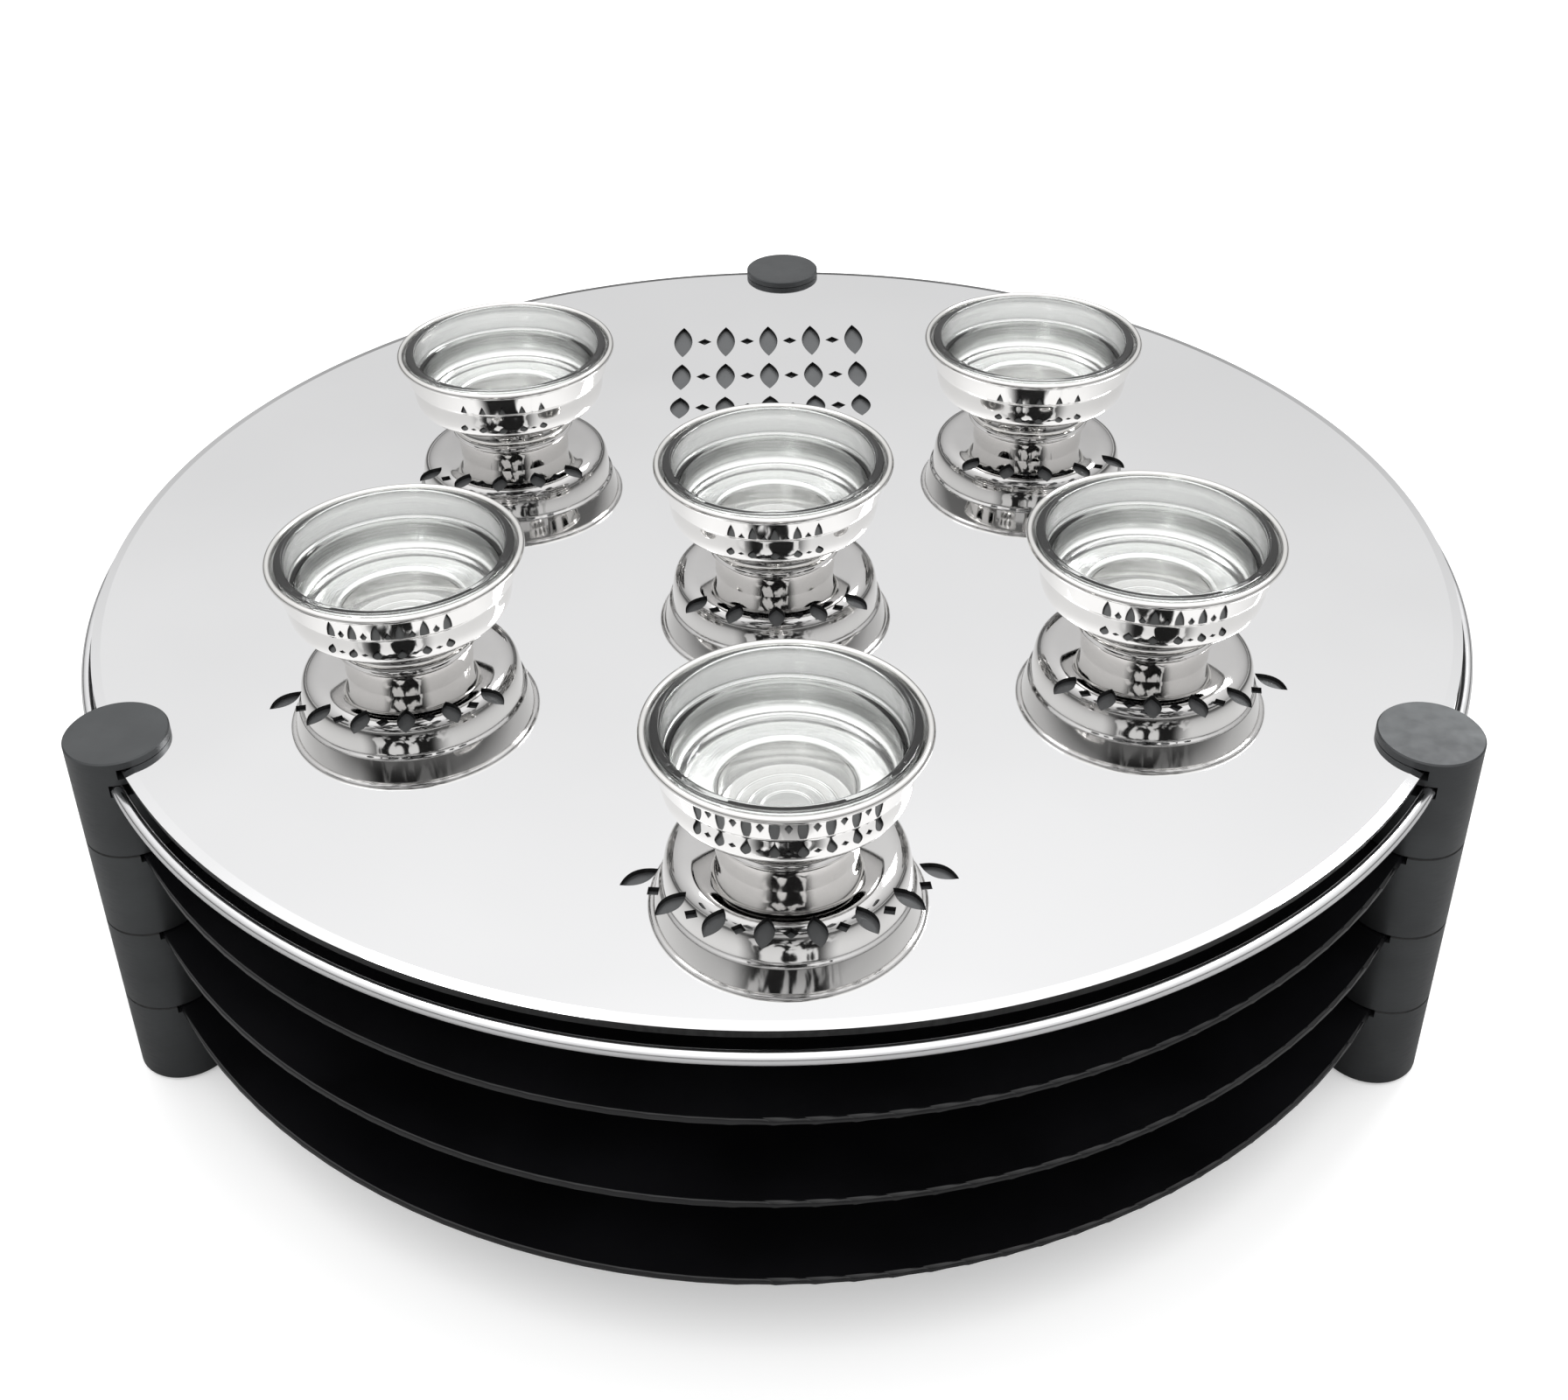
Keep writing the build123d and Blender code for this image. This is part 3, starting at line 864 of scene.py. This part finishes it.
def top_screw(length):
    """A screw with a cylinder head below, from the floor of its socket out and up to its tip."""
    return [
        (0.0, SOCKET[1]),
        (SOCKET[0], SOCKET[1]),
        (SOCKET[0], 0.0),
        (TOP_HEAD[0] - EASE * 2, 0.0),
        (TOP_HEAD[0], EASE * 2),
        (TOP_HEAD[0], TOP_HEAD[1] - EASE),
        (TOP_HEAD[0] - EASE, TOP_HEAD[1]),
        (SCREW_R, TOP_HEAD[1]),
        (SCREW_R, length - EASE * 3),
        (SCREW_R - EASE * 3, length),
        (0.0, length),
    ]


def dowel(length):
    """A pin with both ends chamfered."""
    chamfered = DOWEL_R - DOWEL_CHAMFER
    side = [(DOWEL_R, DOWEL_CHAMFER), (DOWEL_R, length - DOWEL_CHAMFER)]
    return [(0.0, 0.0), (chamfered, 0.0), *side, (chamfered, length), (0.0, length)]


def pad(length):
    """A disc with its lower edge eased."""
    return [(0.0, 0.0), (PAD_R - PAD_EASE, 0.0), (PAD_R, PAD_EASE), (PAD_R, length), (0.0, length)]


print("points on a shelf screw:", len(shelf_screw(1.0)), "on a top screw:", len(top_screw(1.0)))

# %% Set them at the posts
SCREW_INSET = 6.4
DOWEL_OUTSET = 6.8
SMALL_STEPS = 48
SOCKET_RINGS = (1, 2)


def hub_at(z):
    """The plate's axis at a height."""
    return (hub.x, hub.y, z)


def repeat_at_posts(node, profile, offset, finish, hexed=()):
    """One turned piece at each post, as long as its node, offset from the post's axis away from the hub."""
    low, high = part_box(node)
    line = profile((high[2] - low[2]) / MM)
    single = turned(f"{node}_one", line, (0.0, 0.0, 0.0), SMALL_STEPS, hexed=hexed)
    values = {"Pitch Radius": pitch_radius + offset * MM, "Hub": hub_at(low[2]), "Finish": finish}
    mesh = through_tree(f"{node}_carrier", single, each_post, **values)
    mesh.set_sharp_from_angle(angle=math.radians(SHARP_DEGREES))
    add_piece(f"{node}_set", mesh, node, finish)
    print(node, "length", round((high[2] - low[2]) / MM, 3), "mm")


for tier in TIERS:
    repeat_at_posts(f"{tier}_shelf_screws", shelf_screw, -SCREW_INSET, plain_steel, hexed=SOCKET_RINGS)
    repeat_at_posts(f"{tier}_dowels", dowel, DOWEL_OUTSET, plain_steel)
repeat_at_posts("top_screws", top_screw, -SCREW_INSET, plain_steel, hexed=SOCKET_RINGS)
repeat_at_posts("foot_pads", pad, 0.0, pad_rubber)

# %% [markdown]
# ## The pierced plate
#
# The plate is laser-cut with leaves and lozenges: arcs of them before each dish, and three rows behind the
# middle one. Each hole is one point of a small mesh, which carries the hole's turn and half sizes. The tree
# bends a circle into a leaf by replacing y with y times its own size, instances it on the points, fills the
# plate's outline with the holes left out, and extrudes the sheet, first for the bevel and then for the edge.

# %% Places of the holes
PLATE_TURN = 1.8
LEAF_ARC_R = 37.5
LEAF_STEP = 16.8
ARC_LEAF = (9.5, 4.4)
ARC_BUD = 1.7
ARC_COUNTS = {"front": 8, "front_left": 6, "front_right": 6, "rear_left": 5, "rear_right": 5, "centre": 5}
ROWS = ((124.0, 22.0), (99.0, 18.0), (78.0, 14.0))
ROW_LEAF_W = 6.0
ROW_STEP = 14.0
ROW_COUNT = 5
ROW_BUD = 2.3


def hole_list():
    """Each hole's x, y, turn, half length, half width, in millimetres, and whether it is a leaf."""
    holes = []
    for place, count in ARC_COUNTS.items():
        centre = (dish_centre[place] - hub) / MM
        for n in range(2 * count - 1):
            angle = math.radians(PLATE_TURN - 90.0 + LEAF_STEP * (n - count + 1) / 2)
            x = centre.x + LEAF_ARC_R * math.cos(angle)
            y = centre.y + LEAF_ARC_R * math.sin(angle)
            if n % 2 == 0:
                holes.append((x, y, angle, ARC_LEAF[0] / 2, ARC_LEAF[1] / 2, True))
            else:
                holes.append((x, y, angle, ARC_BUD, ARC_BUD, False))
    turn = math.radians(PLATE_TURN)
    for row_y, leaf_length in ROWS:
        for n in range(2 * ROW_COUNT - 1):
            across = ROW_STEP * (n - ROW_COUNT + 1) / 2
            x = across * math.cos(turn) - row_y * math.sin(turn)
            y = across * math.sin(turn) + row_y * math.cos(turn)
            if n % 2 == 0:
                holes.append((x, y, turn + math.pi / 2, leaf_length / 2, ROW_LEAF_W / 2, True))
            else:
                holes.append((x, y, turn, ROW_BUD, ROW_BUD, False))
    return holes


def hole_points():
    """The holes as a mesh of points with attributes."""
    holes = hole_list()
    mesh = bpy.data.meshes.new("hole_points")
    mesh.from_pydata([(hub.x + h[0] * MM, hub.y + h[1] * MM, plate_top) for h in holes], [], [])
    carried = (
        ("turn", "FLOAT", [h[2] for h in holes]),
        ("half_length", "FLOAT", [h[3] * MM for h in holes]),
        ("half_width", "FLOAT", [h[4] * MM for h in holes]),
        ("leaf", "BOOLEAN", [h[5] for h in holes]),
    )
    for name, kind, values in carried:
        mesh.attributes.new(name, kind, "POINT").data.foreach_set("value", values)
    return mesh


print("holes:", len(hole_list()))


# %% The plate's tree
PLATE_STEPS = 320
LEAF_STEPS = 36
RIM_SHARE = 0.999


def named(tree, name, kind):
    """Reads one of the points' attributes."""
    node = add_node(tree, "GeometryNodeInputNamedAttribute", data_type=kind)
    node.inputs["Name"].default_value = name
    return node.outputs["Attribute"]


def hole_instances(tree, given, shape, wanted):
    """Instances of a closed curve on the wanted points, turned and sized by their attributes."""
    size = add_node(tree, "ShaderNodeCombineXYZ", Z=1.0)
    turn = add_node(tree, "ShaderNodeCombineXYZ")
    spread = add_node(tree, "GeometryNodeInstanceOnPoints")
    link = tree.links.new
    link(named(tree, "half_length", "FLOAT"), size.inputs["X"])
    link(named(tree, "half_width", "FLOAT"), size.inputs["Y"])
    link(named(tree, "turn", "FLOAT"), turn.inputs["Z"])
    link(given.outputs["Geometry"], spread.inputs["Points"])
    link(wanted, spread.inputs["Selection"])
    link(shape, spread.inputs["Instance"])
    link(turn.outputs["Vector"], spread.inputs["Rotation"])
    link(size.outputs["Vector"], spread.inputs["Scale"])
    return spread.outputs["Instances"]


def leaf_curve(tree):
    """A unit circle whose y becomes y times its size: a leaf with pointed ends on x."""
    circle = add_node(tree, "GeometryNodeCurvePrimitiveCircle", Resolution=LEAF_STEPS)
    position = add_node(tree, "GeometryNodeInputPosition")
    parts = add_node(tree, "ShaderNodeSeparateXYZ")
    joined = add_node(tree, "ShaderNodeCombineXYZ")
    moved = add_node(tree, "GeometryNodeSetPosition")
    link = tree.links.new
    link(position.outputs["Position"], parts.inputs["Vector"])
    size = add_maths(tree, "ABSOLUTE", parts.outputs["Y"])
    link(parts.outputs["X"], joined.inputs["X"])
    link(add_maths(tree, "MULTIPLY", parts.outputs["Y"], size), joined.inputs["Y"])
    link(circle.outputs["Curve"], moved.inputs["Geometry"])
    link(joined.outputs["Vector"], moved.inputs["Position"])
    return moved.outputs["Geometry"]


def plate_tree():
    """Geometry Nodes tree: the pierced, bevelled sheet around the object's own points."""
    inputs = {
        "Hub": "Vector",
        "Face Radius": "Float",
        "Bevel Growth": "Float",
        "Bevel Drop": "Vector",
        "Edge Drop": "Vector",
        "Finish": "Material",
    }
    tree, given, result = new_tree("pierced_plate", inputs)
    link = tree.links.new

    rim = add_node(tree, "GeometryNodeCurvePrimitiveCircle", Resolution=PLATE_STEPS)
    rim_placed = add_node(tree, "GeometryNodeTransform")
    link(given.outputs["Face Radius"], rim.inputs["Radius"])
    link(rim.outputs["Curve"], rim_placed.inputs["Geometry"])
    link(given.outputs["Hub"], rim_placed.inputs["Translation"])
    is_leaf = named(tree, "leaf", "BOOLEAN")
    not_leaf = add_node(tree, "FunctionNodeBooleanMath", operation="NOT")
    link(is_leaf, not_leaf.inputs[0])
    lozenge = add_node(tree, "GeometryNodeCurvePrimitiveCircle", Resolution=4)
    leaves = hole_instances(tree, given, leaf_curve(tree), is_leaf)
    lozenges = hole_instances(tree, given, lozenge.outputs["Curve"], not_leaf.outputs["Boolean"])
    outlines = add_node(tree, "GeometryNodeJoinGeometry")
    outlines_real = add_node(tree, "GeometryNodeRealizeInstances")
    sheet = add_node(tree, "GeometryNodeFillCurve")
    sheet_level = add_node(tree, "GeometryNodeTransform")
    for outline in (rim_placed.outputs["Geometry"], leaves, lozenges):
        link(outline, outlines.inputs["Geometry"])
    link(outlines.outputs["Geometry"], outlines_real.inputs["Geometry"])
    link(outlines_real.outputs["Geometry"], sheet.inputs["Curve"])
    height_only = (0.0, 0.0, 1.0)
    sheet_up = add_maths(tree, "MULTIPLY", given.outputs["Hub"], height_only, kind="ShaderNodeVectorMath")
    link(sheet.outputs["Mesh"], sheet_level.inputs["Geometry"])
    link(sheet_up, sheet_level.inputs["Translation"])

    bevel = add_node(tree, "GeometryNodeExtrudeMesh", Individual=False)
    link(sheet_level.outputs["Geometry"], bevel.inputs["Mesh"])
    link(given.outputs["Bevel Drop"], bevel.inputs["Offset"])
    position = add_node(tree, "GeometryNodeInputPosition")
    from_hub = add_node(tree, "ShaderNodeVectorMath", operation="SUBTRACT")
    flat = add_node(tree, "ShaderNodeVectorMath", operation="MULTIPLY")
    flat.inputs[1].default_value = (1.0, 1.0, 0.0)
    reach = add_node(tree, "ShaderNodeVectorMath", operation="LENGTH")
    near_rim = add_node(tree, "FunctionNodeCompare", data_type="FLOAT", operation="GREATER_THAN")
    lowered = add_node(tree, "FunctionNodeBooleanMath", operation="AND")
    outward = add_node(tree, "ShaderNodeVectorMath", operation="SCALE")
    grown = add_node(tree, "GeometryNodeSetPosition")
    link(position.outputs["Position"], from_hub.inputs[0])
    link(given.outputs["Hub"], from_hub.inputs[1])
    link(from_hub.outputs["Vector"], flat.inputs[0])
    link(flat.outputs["Vector"], reach.inputs[0])
    link(reach.outputs["Value"], near_rim.inputs["A"])
    link(add_maths(tree, "MULTIPLY", given.outputs["Face Radius"], RIM_SHARE), near_rim.inputs["B"])
    link(near_rim.outputs["Result"], lowered.inputs[0])
    link(bevel.outputs["Top"], lowered.inputs[1])
    link(flat.outputs["Vector"], outward.inputs[0])
    link(given.outputs["Bevel Growth"], outward.inputs["Scale"])
    link(bevel.outputs["Mesh"], grown.inputs["Geometry"])
    link(lowered.outputs["Boolean"], grown.inputs["Selection"])
    link(outward.outputs["Vector"], grown.inputs["Offset"])

    edge = add_node(tree, "GeometryNodeExtrudeMesh", Individual=False)
    both = add_node(tree, "GeometryNodeJoinGeometry")
    weld = add_node(tree, "GeometryNodeMergeByDistance", Distance=WELD)
    real = add_node(tree, "GeometryNodeRealizeInstances")
    paint = add_node(tree, "GeometryNodeSetMaterial")
    link(grown.outputs["Geometry"], edge.inputs["Mesh"])
    link(bevel.outputs["Top"], edge.inputs["Selection"])
    link(given.outputs["Edge Drop"], edge.inputs["Offset"])
    link(sheet_level.outputs["Geometry"], both.inputs["Geometry"])
    link(edge.outputs["Mesh"], both.inputs["Geometry"])
    link(both.outputs["Geometry"], real.inputs["Geometry"])
    link(real.outputs["Geometry"], weld.inputs["Geometry"])
    link(weld.outputs["Geometry"], paint.inputs["Geometry"])
    link(given.outputs["Finish"], paint.inputs["Material"])
    link(paint.outputs["Geometry"], result.inputs["Geometry"])
    return tree


# %% Make the plate
BEVEL = (2.4, 0.35)
PLATE_SHARP = 5.0
plate_low, plate_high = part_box("top_plate")
plate_r = (plate_high[0] - plate_low[0]) / 2
plate_t = plate_high[2] - plate_low[2]
face_r = plate_r - BEVEL[0] * MM
mesh = through_tree(
    "plate_carrier",
    hole_points(),
    plate_tree(),
    **{
        "Hub": hub_at(plate_top),
        "Face Radius": face_r,
        "Bevel Growth": plate_r / face_r - 1.0,
        "Bevel Drop": (0.0, 0.0, -BEVEL[1] * MM),
        "Edge Drop": (0.0, 0.0, BEVEL[1] * MM - plate_t),
        "Finish": mirror_plate,
    },
)
open_edges = shaded(mesh, PLATE_SHARP)
# The plate's walls take the dark edge finish: the dull cut, and painted shade on the walls.
for face in mesh.polygons:
    face.material_index = int(upright(face))
add_piece("pierced_mirror_plate", mesh, "top_plate", mirror_plate, cut_edge_and_painted_shade)
print("plate polygons", len(mesh.polygons), "open edges", open_edges)
print("plate z", min(v.co.z for v in mesh.vertices), max(v.co.z for v in mesh.vertices))

# %% [markdown]
# ## Floor, world and lamps
#
# The photograph is a product shot on white. The floor and the world are white to the camera, while the light
# comes from a soft studio dome: bright overhead and dark at the horizon, which draws the dark lines of the
# hoop and the rims. Polished dishes also show the unlit room behind the camera. It stands in the world
# only for light that has bounced twice, so that the plate itself stays bright from every side. Light that
# has come through glass sees a plainer, brighter dome. Silver gives back nearly all of its light, and a
# dome bright enough for the posts would burn it out, so what a mirror shows of the dome is a fifth dimmer.
# Two small soft boxes stand above and behind. The floor still takes the object's shadow.

# %% Floor
FLOOR_HALF = 6.0
FLOOR_GREY = 0.8
# Seen in a mirror the floor is a darker grey: painted shade in its reflection.
FLOOR_GREY_IN_MIRRORS = 0.42
FLOOR_LIFT = 0.34
FLOOR_ROUGHNESS = 0.9
WHITE = (1.0, 1.0, 1.0, 1.0)
mesh = bpy.data.meshes.new("floor")
corners = [(x * FLOOR_HALF, y * FLOOR_HALF, 0.0) for x, y in ((-1, -1), (1, -1), (1, 1), (-1, 1))]
mesh.from_pydata(corners, [], [(0, 1, 2, 3)])
floor = bpy.data.objects.new("floor", mesh)
bpy.context.scene.collection.objects.link(floor)
floor_paper = bpy.data.materials.new("floor_paper")
floor_paper.use_nodes = True
tree = floor_paper.node_tree
shader = tree.nodes["Principled BSDF"]
shader.inputs["Roughness"].default_value = FLOOR_ROUGHNESS
shader.inputs["Specular IOR Level"].default_value = 0.0
shader.inputs["Emission Color"].default_value = WHITE
rays = add_node(tree, "ShaderNodeLightPath")
paper = add_node(tree, "ShaderNodeMix", data_type="RGBA")
paper.inputs["A"].default_value = (*[FLOOR_GREY] * 3, 1.0)
paper.inputs["B"].default_value = (*[FLOOR_GREY_IN_MIRRORS] * 3, 1.0)
lift = add_maths(tree, "MULTIPLY", rays.outputs["Is Camera Ray"], FLOOR_LIFT)
tree.links.new(rays.outputs["Is Glossy Ray"], paper.inputs["Factor"])
tree.links.new(paper.outputs["Result"], shader.inputs["Base Color"])
tree.links.new(lift, shader.inputs["Emission Strength"])
mesh.materials.append(floor_paper)
print("floor half width", FLOOR_HALF, "m")

# %% World
DOME = ((0.0, 0.16), (0.13, 0.2), (0.25, 0.7), (0.40, 0.97), (0.70, 1.34), (0.82, 1.75), (1.0, 1.75))
DOME_THROUGH_GLASS = ((0.0, 0.9), (0.4, 1.35), (0.75, 2.0))
MIRRORED_SHARE = 0.8
FRONT_HALF_ANGLE = 0.6
FRONT_SOFTNESS = 0.2
DARK_HEIGHTS = (0.08, 0.97)
HEIGHT_SOFTNESS = 0.06
MARKS = {"Scale": 4.5, "Detail": 4.0, "Distortion": 0.6}
MARK_LEVELS = (0.46, 2.0)
MARK_SOFTNESS = 0.04
DARK_ROOM = (0.02, 0.02, 0.02, 1.0)
TWO_BOUNCES = 2.5
ANY_GLASS = 0.5
world = bpy.data.worlds.new("studio")
bpy.context.scene.world = world
world.use_nodes = True
tree = world.node_tree
tree.nodes.clear()
link = tree.links.new
heading = add_node(tree, "ShaderNodeTexCoord")
parts = add_node(tree, "ShaderNodeSeparateXYZ")
link(heading.outputs["Generated"], parts.inputs["Vector"])


def band(source, low, high, soft):
    """1 where the value lies between low and high, with soft edges."""
    rise = add_node(tree, "ShaderNodeMapRange", interpolation_type="SMOOTHSTEP")
    fall = add_node(tree, "ShaderNodeMapRange", interpolation_type="SMOOTHSTEP")
    for node, start, end in ((rise, low - soft, low + soft), (fall, high + soft, high - soft)):
        node.inputs["From Min"].default_value = start
        node.inputs["From Max"].default_value = end
        link(source, node.inputs["Value"])
    return add_maths(tree, "MULTIPLY", rise.outputs["Result"], fall.outputs["Result"])


ahead = add_maths(tree, "MULTIPLY", parts.outputs["Y"], -1.0)
azimuth = add_maths(tree, "ARCTAN2", parts.outputs["X"], ahead)
marks = add_node(tree, "ShaderNodeTexNoise", **MARKS)
link(heading.outputs["Generated"], marks.inputs["Vector"])
rays = add_node(tree, "ShaderNodeLightPath")
dark = add_maths(tree, "GREATER_THAN", rays.outputs["Ray Depth"], TWO_BOUNCES)
for factor in (
    band(azimuth, -FRONT_HALF_ANGLE, FRONT_HALF_ANGLE, FRONT_SOFTNESS),
    band(parts.outputs["Z"], *DARK_HEIGHTS, HEIGHT_SOFTNESS),
    band(marks.outputs["Fac"], *MARK_LEVELS, MARK_SOFTNESS),
):
    dark = add_maths(tree, "MULTIPLY", dark, factor)
studio = add_node(tree, "ShaderNodeMix", data_type="RGBA")
studio.inputs["B"].default_value = DARK_ROOM
link(dark, studio.inputs["Factor"])
link(grey_steps(tree, parts.outputs["Z"], DOME), studio.inputs["A"])
lit = add_node(tree, "ShaderNodeMix", data_type="RGBA")
past_glass = add_maths(tree, "GREATER_THAN", rays.outputs["Transmission Depth"], ANY_GLASS)
link(past_glass, lit.inputs["Factor"])
link(studio.outputs["Result"], lit.inputs["A"])
link(grey_steps(tree, parts.outputs["Z"], DOME_THROUGH_GLASS), lit.inputs["B"])
white = add_node(tree, "ShaderNodeMix", data_type="RGBA")
white.inputs["B"].default_value = WHITE
strength = add_maths(tree, "MULTIPLY_ADD", rays.outputs["Is Glossy Ray"], MIRRORED_SHARE - 1.0, 1.0)
background = add_node(tree, "ShaderNodeBackground")
surface = add_node(tree, "ShaderNodeOutputWorld")
link(rays.outputs["Is Camera Ray"], white.inputs["Factor"])
link(lit.outputs["Result"], white.inputs["A"])
link(white.outputs["Result"], background.inputs["Color"])
link(strength, background.inputs["Strength"])
link(background.outputs["Background"], surface.inputs["Surface"])
print("world nodes:", len(tree.nodes))

# %% Lamps and view
LAMP_AIM = Vector((0.0, 0.0, 0.1))
SOFTBOX_SIZE = (0.5, 0.3)
LEFT_AT = (-0.5, 0.5, 1.4)
LEFT_WATTS = 1.5
RIGHT_AT = (0.75, 0.85, 1.25)
RIGHT_WATTS = 7.0


def softbox(name, place, watts):
    """A soft area lamp that faces the object."""
    lamp_data = bpy.data.lights.new(name, "AREA")
    lamp_data.shape = "RECTANGLE"
    lamp_data.size, lamp_data.size_y = SOFTBOX_SIZE
    lamp_data.energy = watts
    lamp = bpy.data.objects.new(name, lamp_data)
    lamp.location = place
    lamp.rotation_euler = (LAMP_AIM - lamp.location).to_track_quat("-Z", "Y").to_euler()
    bpy.context.scene.collection.objects.link(lamp)


softbox("softbox_left", LEFT_AT, LEFT_WATTS)
softbox("softbox_right", RIGHT_AT, RIGHT_WATTS)
bpy.context.scene.view_settings.view_transform = "Standard"
print("lamps:", len(bpy.data.lights))
